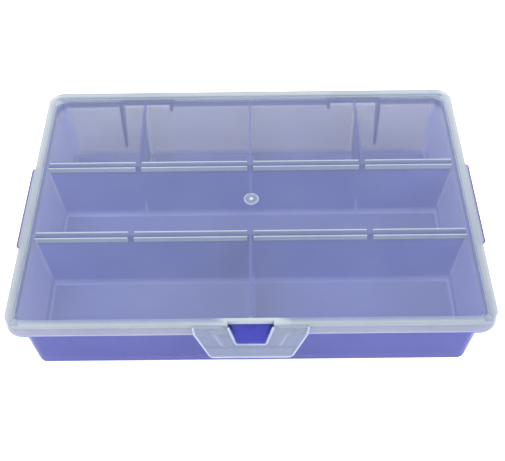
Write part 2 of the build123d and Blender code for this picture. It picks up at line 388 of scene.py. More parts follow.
def wall_ring(z, extra=0.0):
    o = DRAFT * z + extra
    return tray_ring(BASE_HX + o, BASE_HY + o, BASE_R + o, z)


def tray_outer_rows():
    rows = []
    rb = 1.0
    for k in range(7):
        t = math.radians(90 * k / 6)
        o = -rb + rb * math.sin(t)
        z = rb - rb * math.cos(t)
        o += DRAFT * z
        rows.append(tray_ring(BASE_HX + o, BASE_HY + o, BASE_R + o, z))
    for z in (3, 9, 17, 25, 32, 35.5):
        rows.append(wall_ring(z))
    rows.append(wall_ring(LEDGE_BOTTOM - 0.45))
    rows.append(wall_ring(LEDGE_BOTTOM - 0.13, 0.10))
    o = DRAFT * LEDGE_BOTTOM + 0.45
    ex, ey, er = LEDGE_HX, LEDGE_HY, 7.9
    rows.append(tray_ring(BASE_HX + o, BASE_HY + o, BASE_R + o, LEDGE_BOTTOM, ledge=True))
    mid_x = (BASE_HX + o + ex) / 2
    mid_y = (BASE_HY + o + ey) / 2
    rows.append(tray_ring(mid_x, mid_y, 7.9, LEDGE_BOTTOM, ledge=True))
    for d, z in ((0.30, LEDGE_BOTTOM), (0.09, LEDGE_BOTTOM + 0.09), (0.0, LEDGE_BOTTOM + 0.30),
                 (0.0, LEDGE_TOP - 0.30), (0.09, LEDGE_TOP - 0.09), (0.30, LEDGE_TOP), (0.55, LEDGE_TOP),
                 (1.05, LEDGE_TOP), (1.6, LEDGE_TOP)):
        rows.append(tray_ring(ex - d, ey - d, er - d, z, bump=True, ledge=True))
    o = DRAFT * LEDGE_TOP + 0.45
    rows.append(tray_ring(mid_x, mid_y, 7.9, LEDGE_TOP, ledge=True))
    rows.append(tray_ring(BASE_HX + o, BASE_HY + o, BASE_R + o, LEDGE_TOP, ledge=True))
    rows.append(wall_ring(LEDGE_TOP + 0.13, 0.10))
    rows.append(wall_ring(LEDGE_TOP + 0.45))
    for z in (40.2, 41.8, TRAY_TOP - 0.40):
        rows.append(wall_ring(z))
    rows.append(wall_ring(TRAY_TOP - 0.12, -0.12))
    rows.append(wall_ring(TRAY_TOP, -0.40))
    return rows


def divider_half(z):
    return 0.9 - 0.25 * (z - 0.5) / 42.8


def inner_half(z):
    o = DRAFT * (z - FLOOR)
    return 110.42 + o, 73.02 + o


POCKETS = []   # (x low, x high, y low, y high), None is an outer wall
for a, b in ((None, -CROSS_X), (-CROSS_X, 0.0), (0.0, CROSS_X), (CROSS_X, None)):
    POCKETS.append((a, b, REAR_Y, None))
POCKETS.append((None, None, FRONT_Y, REAR_Y))
POCKETS.append((None, 0.0, None, FRONT_Y))
POCKETS.append((0.0, None, None, FRONT_Y))

POCKET_SEG = 7


def pocket_ring(pocket, z, inset=0.0, grow=0.0):
    """Ring of one compartment at height z, moved in by inset."""
    xa, xb, ya, yb = pocket
    ihx, ihy = inner_half(z)
    h = divider_half(z)
    x0 = (-ihx if xa is None else xa + h) + inset - grow
    x1 = (ihx if xb is None else xb - h) - inset + grow
    y0 = (-ihy if ya is None else ya + h) + inset - grow
    y1 = (ihy if yb is None else yb - h) - inset + grow
    outer_r = 3.3 + DRAFT * (z - FLOOR)

    def radius(on_x, on_y):
        base = outer_r if (on_x and on_y) else 1.3
        return max(base - inset + grow, 0.45)

    pts = []
    corners = (
        (x1, y1, 0, radius(xb is None, yb is None)),
        (x0, y1, 90, radius(xa is None, yb is None)),
        (x0, y0, 180, radius(xa is None, ya is None)),
        (x1, y0, 270, radius(xb is None, ya is None)),
    )
    for cx, cy, a0, r in corners:
        sx = 1 if a0 in (0, 270) else -1
        sy = 1 if a0 in (0, 90) else -1
        ox, oy = cx - sx * r, cy - sy * r
        for i in range(POCKET_SEG + 1):
            a = math.radians(a0 + 90 * i / POCKET_SEG)
            pts.append((ox + r * math.cos(a), oy + r * math.sin(a), z))
        # points along the side that follows this corner
        nxt = corners[(corners.index((cx, cy, a0, r)) + 1) % 4]
        nsx = 1 if nxt[2] in (0, 270) else -1
        nsy = 1 if nxt[2] in (0, 90) else -1
        ex, ey = nxt[0] - nsx * nxt[3], nxt[1] - nsy * nxt[3]
        if a0 in (0, 180):
            start, end, fixed = ox, ex, cy
            for f in (0.25, 0.5, 0.75):
                pts.append((start + (end - start) * f, fixed, z))
        else:
            start, end, fixed = oy, ey, cx
            for f in (0.25, 0.5, 0.75):
                pts.append((fixed, start + (end - start) * f, z))
    return pts


def pocket_rows(pocket):
    rows = [pocket_ring(pocket, TRAY_TOP, grow=0.30), pocket_ring(pocket, TRAY_TOP - 0.10, grow=0.08),
            pocket_ring(pocket, TRAY_TOP - 0.32)]
    for z in (36.0, 28.0, 20.0, 12.0, 6.0):
        rows.append(pocket_ring(pocket, z))
    rf = 1.7
    for k in range(8):
        t = math.radians(90 * k / 7)
        rows.append(pocket_ring(pocket, FLOOR + rf - rf * math.sin(t), inset=rf - rf * math.cos(t)))
    return rows


def build_tray():
    verts, faces = [], []
    rows = tray_outer_rows()
    n = len(rows[0])
    verts += flatten(rows)
    faces += bridge(rows)
    faces.append(tuple(range(n - 1, -1, -1)))
    top_outer = [(len(rows) - 1) * n + i for i in range(n)]
    loops = [top_outer]
    for pocket in POCKETS:
        prow = pocket_rows(pocket)
        m = len(prow[0])
        base = len(verts)
        verts += flatten(prow)
        faces += [tuple(base + i for i in reversed(f)) for f in bridge(prow)]
        loops.append([base + i for i in range(m)])
        last = base + (len(prow) - 1) * m
        faces.append(tuple(last + i for i in range(m)))
    # the flat top between the outline and the compartments
    flat, index, edges = [], [], []
    for loop in loops:
        start = len(flat)
        for i in loop:
            flat.append(Vector((verts[i][0], verts[i][1])))
            index.append(i)
        for k in range(len(loop)):
            edges.append((start + k, start + (k + 1) % len(loop)))
    out = geometry.delaunay_2d_cdt(flat, edges, [], 0, 1e-6)
    vout, fout, orig = out[0], out[2], out[3]

    def inside(poly, p):
        hit = False
        for k in range(len(poly)):
            a, b = poly[k], poly[(k + 1) % len(poly)]
            if (a.y > p.y) != (b.y > p.y):
                if p.x < (b.x - a.x) * (p.y - a.y) / (b.y - a.y) + a.x:
                    hit = not hit
        return hit

    polys, start = [], 0
    for loop in loops:
        polys.append(flat[start:start + len(loop)])
        start += len(loop)
    back = {k: index[o[0]] for k, o in enumerate(orig)}
    for f in fout:
        c = (vout[f[0]] + vout[f[1]] + vout[f[2]]) / 3
        if inside(polys[0], c) and not any(inside(p, c) for p in polys[1:]):
            faces.append(tuple(back[i] for i in f))
    obj = new_object("tray_moulding", verts, faces, "tray", 40)
    if "lid_seat_ledge" in frame["nodes"]:
        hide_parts("lid_seat_ledge")
    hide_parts("tray_shell", "rear_long_divider", "front_long_divider",
                "rear_left_cross_divider", "rear_centre_cross_divider",
                "rear_right_cross_divider", "front_cross_divider",
                "left_side_grip", "right_side_grip")
    weighted(obj)
    obj.data.materials.append(MAT_TRAY)
    paint(obj, tray_haze_and_painted_light)
    return obj


def in_corner(x, y, z):
    """True on the rounded vertical corners of a compartment."""
    ihx, ihy = inner_half(z)
    h = divider_half(z)
    for xa, xb, ya, yb in POCKETS:
        x0, x1 = (-ihx if xa is None else xa + h), (ihx if xb is None else xb - h)
        y0, y1 = (-ihy if ya is None else ya + h), (ihy if yb is None else yb - h)
        if x0 - 0.1 < x < x1 + 0.1 and y0 - 0.1 < y < y1 + 0.1:
            return min(x - x0, x1 - x) < 1.25 and min(y - y0, y1 - y) < 1.25
    return False


def tray_haze_and_painted_light(x, y, z):
    """Haze lets some light through the walls. A colour factor paints light and shade: tops, ledge, floor,
    fillets, corners and side walls lighter; the outside, the base edge, the ledge's outer edge and the divider
    tops darker as shade.
    """
    ax, ay = abs(x), abs(y)
    ihx, ihy = inner_half(z)
    outside = ax > ihx + 0.7 or ay > ihy + 0.7
    if LEDGE_BOTTOM - 0.05 <= z <= LEDGE_TOP + 0.05 and (ax > 116.0 or ay > 78.6):
        # Grips: tops painted much lighter as painted light; their outermost faces darker and redder.
        if ax > 117.5 and ay < 40:
            if ax > LEDGE_HX + grip_bump(y) - 0.60:
                return 0.97, (0.80, 0.42, 0.42)
            return 0.75, (3.6, 3.0, 1.02)
        # Ledge: the outer edge painted darker as shade under the lid's skirt, the top painted lighter as painted
        # light.
        if ax > LEDGE_HX - 0.4 or ay > LEDGE_HY - 0.4:
            return 0.92, (0.62, 0.58, 0.72)
        return 0.62, (1.5, 1.4, 0.92)
    if outside:
        # Outside: the band above the ledge painted lighter; below it the base edge and the walls painted darker
        # as shade, the front wall most.
        if z > LEDGE_TOP + 0.1:
            return 0.55, (1.55, 1.42, 0.92)
        if z < 0.8:
            return 0.95, (0.72, 0.66, 0.70)
        if y > 0 and ay > ihy:
            return 0.66, (0.95, 0.88, 0.70)
        if y < 0 and ay > ihy:
            return 0.90, (0.70, 0.60, 0.54)
        return 0.74, (0.9, 0.80, 0.72)
    # Top of the walls: the outer top edge painted lighter as a highlight; the divider tops painted darker as
    # shade between the lid's seal ribs.
    if z > TRAY_TOP - 0.5:
        if ax > ihx - 1.2 or ay > ihy - 1.2:
            return 0.55, (1.6, 1.48, 0.95)
        return 0.88, (0.50, 0.52, 0.60)
    # Inside: painted light and shade. The front floor lighter than the rear floor, the wall-floor fillets and
    # rounded corners lighter as painted highlights, the side walls lighter, the rear wall paler and less blue as
    # a painted veil of reflected light.
    if z < FLOOR + 0.02:
        return (0.86, (1.36, 1.26, 0.84)) if y < 20 else (0.84, (0.90, 0.92, 0.76))
    if z < FLOOR + 1.8:
        return (0.74, (2.1, 1.95, 1.16)) if ax > 104 else (0.82, (1.50, 1.40, 0.96))
    if in_corner(x, y, z) and ax > 100:
        return 0.72, (2.0, 1.9, 1.2)
    if y > 60 and ax < 108:
        return 0.62, (1.05, 1.05, 0.80)
    if ax > 107:
        return 0.72, (1.74, 1.70, 1.24)
    return 0.80, (1.04, 1.10, 1.04)


tray = build_tray()

# --------------------------------------------------------------------- lid
LID_SIDE = [-60, -40, -20, 0, 20, 40, 60]
LID_LONG = [-100, -80, -60, -45, -28, -20, -8, -4, 0, 4, 8, 20, 28, 45, 60, 80, 100]
NOTCH_X, NOTCH_Y = 11.2, -79.8
SKIRT_LEAN = 0.45 / 7.7
LID_R = 8.5
RIM_IX, RIM_IY, RIM_R = 114.8, 77.8, 3.6
SEAT_IX, SEAT_IY, SEAT_R = 116.1, 79.1, 4.6


def lid_ring(hx, hy, r, z, jog=None):
    return ring(hx, hy, r, z, LID_SIDE, LID_LONG, jog=jog or (NOTCH_X, -hy, z))


def skirt_ring(off, z, jog):
    o = off - SKIRT_LEAN * (z - SKIRT_Z)
    return lid_ring(LID_HX + o, LID_HY + o, LID_R + o, z, jog)


def build_lid():
    rows = []
    edge = lid_ring(RIM_IX - 0.9, RIM_IY - 0.9, RIM_R - 0.9, PANEL_TOP)
    for k in (0.12, 0.35, 0.6, 0.8, 0.94):
        rows.append(scaled(edge, k, PANEL_TOP))
    rows.append(edge)
    for d, z in ((0.50, PANEL_TOP), (0.22, PANEL_TOP + 0.06), (0.06, PANEL_TOP + 0.22), (0.0, PANEL_TOP + 0.5),
                 (-0.03, LID_TOP - 0.40), (-0.12, LID_TOP - 0.13), (-0.26, LID_TOP - 0.03), (-0.45, LID_TOP)):
        rows.append(lid_ring(RIM_IX - d, RIM_IY - d, RIM_R - d, z))
    rf = 1.0
    for k in range(8):
        t = math.radians(88 * k / 7)
        z = LID_TOP - rf + rf * math.cos(t)
        o = -0.45 - rf + rf * math.sin(t)
        rows.append(lid_ring(LID_HX + o, LID_HY + o, LID_R + o, z,
                             (NOTCH_X, NOTCH_Y + 0.55 * (1 - math.sin(t)), z)))
    for z in (44.7, 43.5, 42.3, 41.1, 39.9, SKIRT_Z + 0.6, SKIRT_Z + 0.28):
        zn = 45.2 - (45.2 - PANEL_BOTTOM - 0.25) * (45.2 - z) / (45.2 - SKIRT_Z)
        rows.append(skirt_ring(0.0, z, (NOTCH_X, NOTCH_Y, zn)))
    for d, z in ((0.09, 0.08), (0.28, 0.0), (0.6, 0.0), (0.92, 0.0), (1.11, 0.08)):
        x = NOTCH_X + d
        rows.append(skirt_ring(-d, SKIRT_Z + z, (x, NOTCH_Y + 0.15 * d, PANEL_BOTTOM + max(0, 0.1 - d / 5))))
    inner = [skirt_ring(-1.2, SKIRT_Z + 0.28, None)]
    inner = []
    for z in (SKIRT_Z + 0.28, 39.9, 41.3, 42.7, 43.8, 44.4):
        inner.append(("w", z, 0.0))
    for k in range(1, 5):
        t = math.radians(90 * k / 4)
        inner.append(("w", 44.4 + 0.6 * math.sin(t), 0.6 * (1 - math.cos(t))))
    count = len(inner) + 6
    for j, (_, z, d) in enumerate(inner):
        yn = NOTCH_Y + 0.25 + 1.6 * j / count
        rows.append(skirt_ring(-1.2 - d, z, (NOTCH_X + 1.2, yn, PANEL_BOTTOM)))
    for j, (d, z) in enumerate(((-0.50, 45.0), (-0.15, 44.90), (-0.02, 44.6), (0.0, 44.0), (0.08, 43.72),
                                (0.30, PANEL_BOTTOM))):
        yn = NOTCH_Y + 0.25 + 1.6 * (j + len(inner)) / count
        rows.append(lid_ring(SEAT_IX - d, SEAT_IY - d, SEAT_R - d, z, (NOTCH_X + 1.2, yn, PANEL_BOTTOM)))
    edge = lid_ring(SEAT_IX - 2.2, SEAT_IY - 2.2, SEAT_R - 2.2, PANEL_BOTTOM)
    rows.append(edge)
    for k in (0.94, 0.8, 0.6, 0.35, 0.12):
        rows.append(scaled(edge, k, PANEL_BOTTOM))
    n = len(rows[0])
    verts = flatten(rows)
    faces = bridge(rows)
    faces.append(tuple(range(n)))
    last = (len(rows) - 1) * n
    faces.append(tuple(last + i for i in range(n - 1, -1, -1)))
    obj = new_object("lid_moulding", verts, faces, "lid", 40)
    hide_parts("lid_shell")
    weighted(obj)
    obj.data.materials.append(MAT_LID)
    paint(obj, lid_haze_and_painted_light)
    return obj


PANEL_HAZE = 0.15


def lid_haze_and_painted_light(x, y, z):
    """The thin flat panel is nearly clear; the rim and skirt scatter more, most at their edges. A colour factor
    paints light on them: highlight lines along the rim's edges, a lighter inner wall and skirt (partly light
    scattered in the plastic), a darker rear rim.
    """
    ax, ay = abs(x), abs(y)
    if ax < RIM_IX - 0.4 and ay < RIM_IY - 0.4:
        return PANEL_HAZE, WHITE
    front = y < 0 and ay > 77.0 and ax < 114.0
    rear = y > 0 and ay > 77.0 and ax < 114.0
    # Rim above the latch window: painted lighter, a painted highlight bar.
    if front and ax < 13.5:
        return 0.86, (1.28, 1.28, 1.26)
    off = max(ax - LID_HX, ay - LID_HY) + 0.45
    # Outer top fillet of the rim: a painted highlight line, strongest at the front; the rear painted darker as
    # shade.
    if z > LID_TOP - 1.1 and off > -1.04:
        if front:
            return 0.84, (1.10, 1.10, 1.08)
        return (0.84, (0.88, 0.88, 0.88)) if rear else (0.84, (0.96, 0.96, 0.97))
    if z > LID_TOP - 0.2:
        if y < 0:
            f = max(0.0, min(1.0, (117.0 - ax) / 9.0)) * max(0.0, min(1.0, (ay - 72.0) / 5.0))
            return 0.78 - 0.50 * f, (0.98, 0.98 + 0.04 * f, 0.99 + 0.11 * f)
        return (0.82, (1.00, 1.00, 0.99)) if rear else (0.78, (0.98, 0.98, 0.99))
    # Inner wall of the rim: painted much lighter as if lit, less at the front.
    if ax < 115.6 and ay < 78.6:
        return (0.40, (1.9, 1.95, 2.1)) if not front else (0.24, (1.3, 1.3, 1.35))
    # Skirt: painted lighter, partly light scattered in the plastic and partly painted light; lightest at its
    # bottom edge and at the rear.
    if z < SKIRT_Z + 0.7:
        return 0.62, (1.50, 1.44, 1.50)
    if rear:
        return 0.66, (1.45, 1.52, 1.68)
    return 0.42, (1.36, 1.27, 1.40)


lid = build_lid()


def box_mesh(x0, x1, y0, y1, z0, z1, taper=0.0):
    """Eight corners; the bottom narrows by taper on each long side."""
    v = [(x0, y0 + taper, z0), (x1, y0 + taper, z0), (x1, y1 - taper, z0), (x0, y1 - taper, z0),
         (x0, y0, z1), (x1, y0, z1), (x1, y1, z1), (x0, y1, z1)]
    f = [(3, 2, 1, 0), (4, 5, 6, 7), (0, 1, 5, 4), (1, 2, 6, 5), (2, 3, 7, 6), (3, 0, 4, 7)]
    return v, f


def build_ribs(name, y, node):
    verts, faces = [], []
    gap = 1.6
    stops = [-RIB_X, -CROSS_X, 0.0, CROSS_X, RIB_X]
    for i in range(4):
        a = stops[i] + (gap if i else 0.0)
        b = stops[i + 1] - (gap if i < 3 else 0.0)
        for side in (-1, 1):
            yc = y + side * 1.95
            v, f = box_mesh(a, b, yc - 0.42, yc + 0.42, RIB_BOTTOM, PANEL_BOTTOM + 0.02, 0.12)
            base = len(verts)
            verts += v
            faces += [tuple(base + k for k in q) for q in f]
    obj = new_object(name, verts, faces, "lid", 40)
    bevelled(obj, 0.16, 3)
    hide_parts(node)
    obj.data.materials.append(MAT_LID)
    # The ribs are painted lighter: painted light, partly standing in for light scattered in them.
    paint(obj, lambda x, y, z: (0.74, (1.55, 1.62, 1.78)))
    return obj


build_ribs("rear_seal_rib_pair", REAR_Y, "rear_seal_ribs")
build_ribs("front_seal_rib_pair", FRONT_Y, "front_seal_ribs")


# --------------------------------------------------------------- gate mark
def build_gate():
    """Injection gate: a dished ring with a small nub in its middle."""
    profile = [(0.0, 0.34), (0.5, 0.33), (0.95, 0.27), (1.2, 0.12), (1.4, 0.05), (2.2, 0.045), (2.9, 0.07),
               (3.3, 0.16), (3.55, 0.26), (3.8, 0.27), (4.0, 0.18), (4.15, 0.05), (4.2, 0.0)]
    seg = 64
    verts = [(GATE_X, GATE_Y, PANEL_TOP + profile[0][1])]
    faces = []
    for r, h in profile[1:]:
        for i in range(seg):
            a = 2 * math.pi * i / seg
            verts.append((GATE_X + r * math.cos(a), GATE_Y + r * math.sin(a), PANEL_TOP + h))
    for i in range(seg):
        faces.append((0, 1 + i, 1 + (i + 1) % seg))
    for k in range(len(profile) - 2):
        for i in range(seg):
            a, b = 1 + k * seg + i, 1 + k * seg + (i + 1) % seg
            faces.append((a, a + seg, b + seg, b))
    base = 1 + (len(profile) - 2) * seg
    faces.append(tuple(base + i for i in range(seg - 1, -1, -1)))
    obj = new_object("lid_gate_ring", verts, faces, "lid", 60)
    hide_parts("lid_gate_mark")
    obj.data.materials.append(MAT_LID)

    def look(x, y, z):
        r = math.hypot(x - GATE_X, y - GATE_Y)
        if r < 1.1:
            return 0.85, (1.55, 1.6, 1.6)
        return (0.46, (1.5, 1.5, 1.5)) if r > 3.1 else (0.16, (1.3, 1.3, 1.3))

    paint(obj, look)
    return obj


build_gate()


# ------------------------------------------------------- prisms across X
def prism(name, outline, x0, x1, body, material, bevel=0.25, node=None, segments=3):
    """Outline given as (y, z), extruded from x0 to x1."""
    n = len(outline)
    verts = [(x0, y, z) for y, z in outline] + [(x1, y, z) for y, z in outline]
    faces = [tuple(range(n)), tuple(range(2 * n - 1, n - 1, -1))]
    for i in range(n):
        j = (i + 1) % n
        faces.append((i, i + n, j + n, j))
    obj = new_object(name, verts, faces, body, 30)
    if bevel:
        bevelled(obj, bevel, segments)
    if node:
        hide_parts(node)
    obj.data.materials.append(material)
    return obj


def join(name, objs, nodes, body):
    """Several meshes become one piece."""
    dg = bpy.context.evaluated_depsgraph_get()
    bm = bmesh.new()
    for o in objs:
        me = bpy.data.meshes.new_from_object(o.evaluated_get(dg))
        bm.from_mesh(me)
    mats = [s.material for s in objs[0].material_slots]
    mesh = bpy.data.meshes.new(name)
    bm.to_mesh(mesh)
    bm.free()
    for o in objs:
        bpy.data.objects.remove(o)
    for face in mesh.polygons:
        face.use_smooth = True
    obj = bpy.data.objects.new(name, mesh)
    scene.collection.objects.link(obj)
    for m in mats:
        obj.data.materials.append(m)
    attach(obj, body)
    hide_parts(*nodes)
    return obj


EAR_R = 2.4


def wall_y(z):
    return BASE_HY + DRAFT * z - 0.05


def eye(a0, a1, step):
    return [(PIN_Y + EAR_R * math.cos(math.radians(a)), PIN_Z + EAR_R * math.sin(math.radians(a)))
            for a in range(a0, a1 + 1, step)]


OUTER_EAR = ([(wall_y(7.0), 7.0), (76.6, 7.0)] + eye(-25, 65, 9)
             + [(PIN_Y - 0.6, LEDGE_BOTTOM), (wall_y(LEDGE_BOTTOM), LEDGE_BOTTOM)])
INNER_LUG = ([(wall_y(35.4), 35.4)] + eye(-115, 65, 9)
             + [(PIN_Y - 0.6, LEDGE_BOTTOM), (wall_y(LEDGE_BOTTOM), LEDGE_BOTTOM)])


def ear_look(x, y, z):
    return 0.90, (0.72, 0.70, 0.86)


for side, sign in (("right", 1), ("left", -1)):
    parts = []
    for tag, a, b, outline in (("o", GAP_OUT, GAP_OUT + 1.8, OUTER_EAR), ("i", GAP_IN - 1.8, GAP_IN, INNER_LUG)):
        x0, x1 = sorted((sign * a, sign * b))
        parts.append(prism(f"tmp_{side}_{tag}", outline, x0, x1, "tray", MAT_TRAY, 0.3))
    bpy.context.view_layer.update()
    ears = join(f"{side}_hinge_ears", parts, [f"{side}_hinge_brackets"], "tray")
    paint(ears, ear_look)
    pin = [(PIN_Y + 1.5 * math.cos(2 * math.pi * i / 40), PIN_Z + 1.5 * math.sin(2 * math.pi * i / 40))
           for i in range(40)]
    x0, x1 = sorted((sign * (GAP_IN - 0.1), sign * (GAP_OUT + 0.1)))
    obj = prism(f"{side}_hinge_axle", pin, x0, x1, "tray", MAT_TRAY, 0, f"{side}_hinge_pin")
    paint(obj, ear_look)


def clip_outline():
    """C clip round the pin, open towards the wall, on a web that rises to the skirt."""
    r_out, r_in = 2.9, 1.57
    arc = lambda r, a: (PIN_Y + r * math.cos(math.radians(a)), PIN_Z + r * math.sin(math.radians(a)))
    outer = [arc(r_out, -84 + 98 * k / 14) for k in range(15)]
    skirt = lambda z: LID_HY - SKIRT_LEAN * (z - SKIRT_Z) - 0.15
    web = [(PIN_Y + 2.68, PIN_Z + 2.0), (PIN_Y + 2.25, 38.4), (PIN_Y + 1.6, 40.0), (PIN_Y + 0.6, 41.4),
           (PIN_Y - 0.7, 42.9), (PIN_Y - 2.1, 44.0), (skirt(44.2), 44.25), (skirt(39.3), 39.3),
           (PIN_Y - 2.35, 39.05), (PIN_Y - 2.0, 38.5)]
    tip = [arc(r_out, 132 + 37 * k / 5) for k in range(6)]
    inner = [arc(r_in, 169 - 253 * k / 26) for k in range(27)]
    return outer + web + tip + inner


def clip_look(x, y, z):
    if z > 43.6:
        return 0.62, (1.1, 1.1, 1.1)
    return 0.42, WHITE


for side, sign in (("right", 1), ("left", -1)):
    x0, x1 = sorted((sign * CLIP_IN, sign * CLIP_OUT))
    obj = prism(f"{side}_hinge_clip", clip_outline(), x0, x1, "lid", MAT_LID, 0.15,
                f"{side}_hinge_knuckle")
    paint(obj, clip_look)


# ------------------------------------------------------------------- catch
def build_catch():
    """Wedge: square underneath, sloping back to the wall at its top."""
    lo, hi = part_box("latch_catch")
    z0, z1, nose = lo.z / MM, hi.z / MM, lo.y / MM
    back = lambda z: -(BASE_HY + DRAFT * z) + 0.05
    prof = [(nose, z0), (nose, z0 + 1.6)]
    for k in range(1, 9):
        t = k / 8
        prof.append((nose + (-79.8 - nose) * t, z0 + 1.6 + (z1 - z0 - 1.6) * t))
    prof += [(back(z1), z1), (back((z0 + z1) / 2), (z0 + z1) / 2), (back(z0), z0)]
    half = lambda z: 6.5 + (9.9 - 6.5) * (z - z0) / (z1 - z0)
    verts, faces = [], []
    m = 9
    for k in range(m):
        f = -1 + 2 * k / (m - 1)
        verts += [(half(z) * f, y, z) for y, z in prof]
    n = len(prof)
    faces = [tuple(range(n)), tuple(range(m * n - 1, (m - 1) * n - 1, -1))]
    for k in range(m - 1):
        for i in range(n):
            j = (i + 1) % n
            faces.append((k * n + i, k * n + i + n, k * n + j + n, k * n + j))
    obj = new_object("latch_catch_wedge", verts, faces, "tray", 30)
    bevelled(obj, 0.35, 4)
    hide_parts("latch_catch")
    obj.data.materials.append(MAT_TRAY)

    def look(x, y, z):
        # Painted shade: the whole catch is painted much darker, as shaded under the latch, with a darker patch
        # at its top middle.
        d = math.hypot(x / 3.2, (z - z1 + 1.4) / 1.2)
        return 1.0, (0.30, 0.26, 0.50) if d > 1 else (0.22, 0.18, 0.40)

    paint(obj, look)
    return obj


build_catch()


# ------------------------------------------------------------------- latch
def build_latch():
    thick = 1.4
    bend_z, bottom_z, flare = 29.5, LATCH_LOW + 0.02, 2.0
    top_half, shoulder_half, bend_half, lip_half = 28.0, 27.5, 23.7, 20.2
    shoulder_z = 41.0
    win_top, win_bottom, win_z = 10.4, 7.1, 32.3
    r_lip = 1.8

    def outer(z):
        if z >= shoulder_z:
            t = (z - shoulder_z) / (LATCH_TOP - shoulder_z)
            return shoulder_half + (top_half - shoulder_half) * t
        if z >= bend_z:
            t = (z - bend_z) / (shoulder_z - bend_z)
            return bend_half + (shoulder_half - bend_half) * t
        t = (z - bottom_z) / (bend_z - bottom_z)
        h = lip_half + (bend_half - lip_half) * t
        d = z - bottom_z
        if d < r_lip:
            h -= r_lip - math.sqrt(max(0.0, r_lip ** 2 - (r_lip - d) ** 2))
        return h

    def window(z):
        t = (z - win_z) / (LATCH_TOP + 1.0 - win_z)
        h = win_bottom + (win_top - win_bottom) * t
        d = z - win_z
        r = 0.7
        if 0 <= d < r:
            h -= r - math.sqrt(max(0.0, r ** 2 - (r - d) ** 2))
        return h

    zs = [LATCH_TOP, LATCH_TOP - 0.5, LATCH_TOP - 1.1]
    z = LATCH_TOP - 1.9
    while z > win_z + 1.2:
        zs.append(z)
        z -= 0.62
    zs += [win_z + 0.95, win_z + 0.7, win_z + 0.42, win_z + 0.2, win_z + 0.06, win_z]
    z = win_z - 0.4
    while z > bottom_z + 2.0:
        zs.append(z)
        z -= 0.48
    zs += [bottom_z + d for d in (1.8, 1.3, 0.9, 0.55, 0.3, 0.12, 0.03, 0.0)]
    NL = 22   # columns in one leg
    NM = 18   # columns across the bar

    def depth(z):
        """How far the sheet has moved forward at height z."""
        if z >= bend_z + 1.2:
            return 0.0
        slope = flare / (bend_z - bottom_z)
        if z >= bend_z - 1.2:
            t = (bend_z + 1.2 - z) / 2.4
            return slope * 1.2 * t * t
        return slope * (bend_z - z)

    def smooth(t):
        t = max(0.0, min(1.0, t))
        return t * t * (3 - 2 * t)

    def relief(x, z):
        """Raised border and the two slanting ribs, in mm towards the front."""
        ax = abs(x)
        h = 0.0
        edge = outer(z) - ax
        if z > bottom_z + 1.0:
            h = max(h, 0.22 * (1 - smooth((edge - 0.9) / 0.5)))
        else:
            h = 0.22
        h = max(h, 0.22 * (1 - smooth((z - bottom_z - 0.9) / 0.5)))
        if z > win_z:
            h = max(h, 0.22 * (1 - smooth((ax - window(z) - 0.8) / 0.5)))
        else:
            if ax < win_bottom + 0.4:
                h = max(h, 0.22 * (1 - smooth((win_z - z - 0.8) / 0.5)))
        # slanting ribs
        p, q = Vector((17.9, 41.6)), Vector((14.1, 31.2))
        v, w = q - p, Vector((ax, z)) - p
        t = max(0.0, min(1.0, v.dot(w) / v.length_squared))
        dist = (w - v * t).length
        h = max(h, 0.34 * (1 - smooth(dist / 0.95)))
        return h

    def columns(z):
        o = outer(z)
        if z > win_z - 1e-9:
            i = window(z)
        else:
            i = win_bottom - 0.7
        def leg(sign):
            cols = []
            for k in range(NL + 1):
                t = k / NL
                t = 0.5 - 0.5 * math.cos(math.pi * t) * 0.35 - 0.5 * (1 - 2 * t) * 0.65
                cols.append(sign * (o + (i - o) * t))
            return cols
        left = leg(-1)
        right = leg(1)[::-1]
        mid = [-i + 2 * i * (k + 1) / (NM + 1) for k in range(NM)]
        return left, mid, right

    front, back, verts, faces = {}, {}, [], []

    def add(x, y, z):
        verts.append((x, y, z))
        return len(verts) - 1

    grid_f, grid_b = [], []
    for z in zs:
        left, mid, right = columns(z)
        full = z <= win_z + 1e-9
        rf, rb = [], []
        for x in left + (mid if full else [None] * NM) + right:
            if x is None:
                rf.append(None)
                rb.append(None)
                continue
            d = depth(z)
            rf.append(add(x, LATCH_BACK - thick - d - relief(x, z) + 0.22, z))
            rb.append(add(x, LATCH_BACK - d, z))
        grid_f.append(rf)
        grid_b.append(rb)
    cols = len(grid_f[0])
    for r in range(len(zs) - 1):
        for c in range(cols - 1):
            q = (grid_f[r][c], grid_f[r][c + 1], grid_f[r + 1][c + 1], grid_f[r + 1][c])
            if None in q:
                continue
            faces.append(q[::-1])
            faces.append((grid_b[r][c], grid_b[r][c + 1], grid_b[r + 1][c + 1], grid_b[r + 1][c]))
    # edges: walk every open side
    def strip(pairs):
        for (f0, b0), (f1, b1) in zip(pairs, pairs[1:]):
            faces.append((f0, f1, b1, b0))
    nrows = len(zs)
    win_row = min(i for i, z in enumerate(zs) if z <= win_z + 1e-9)
    strip([(grid_f[r][0], grid_b[r][0]) for r in range(nrows)])
    strip([(grid_f[r][cols - 1], grid_b[r][cols - 1]) for r in range(nrows)])
    strip([(grid_f[nrows - 1][c], grid_b[nrows - 1][c]) for c in range(cols)])
    strip([(grid_f[0][c], grid_b[0][c]) for c in range(NL + 1)])
    strip([(grid_f[0][c], grid_b[0][c]) for c in range(NL + 1 + NM, cols)])
    strip([(grid_f[r][NL], grid_b[r][NL]) for r in range(win_row + 1)])
    strip([(grid_f[r][NL + 1 + NM], grid_b[r][NL + 1 + NM]) for r in range(win_row + 1)])
    strip([(grid_f[win_row][c], grid_b[win_row][c]) for c in range(NL, NL + NM + 2)])
    obj = new_object("front_latch_flap", verts, faces, "latch", 50)
    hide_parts("front_latch")
    bevelled(obj, 0.18, 3, 50)
    obj.data.materials.append(MAT_LATCH)

    def look(x, y, z):
        ax = abs(x)
        edge = outer(z) - ax
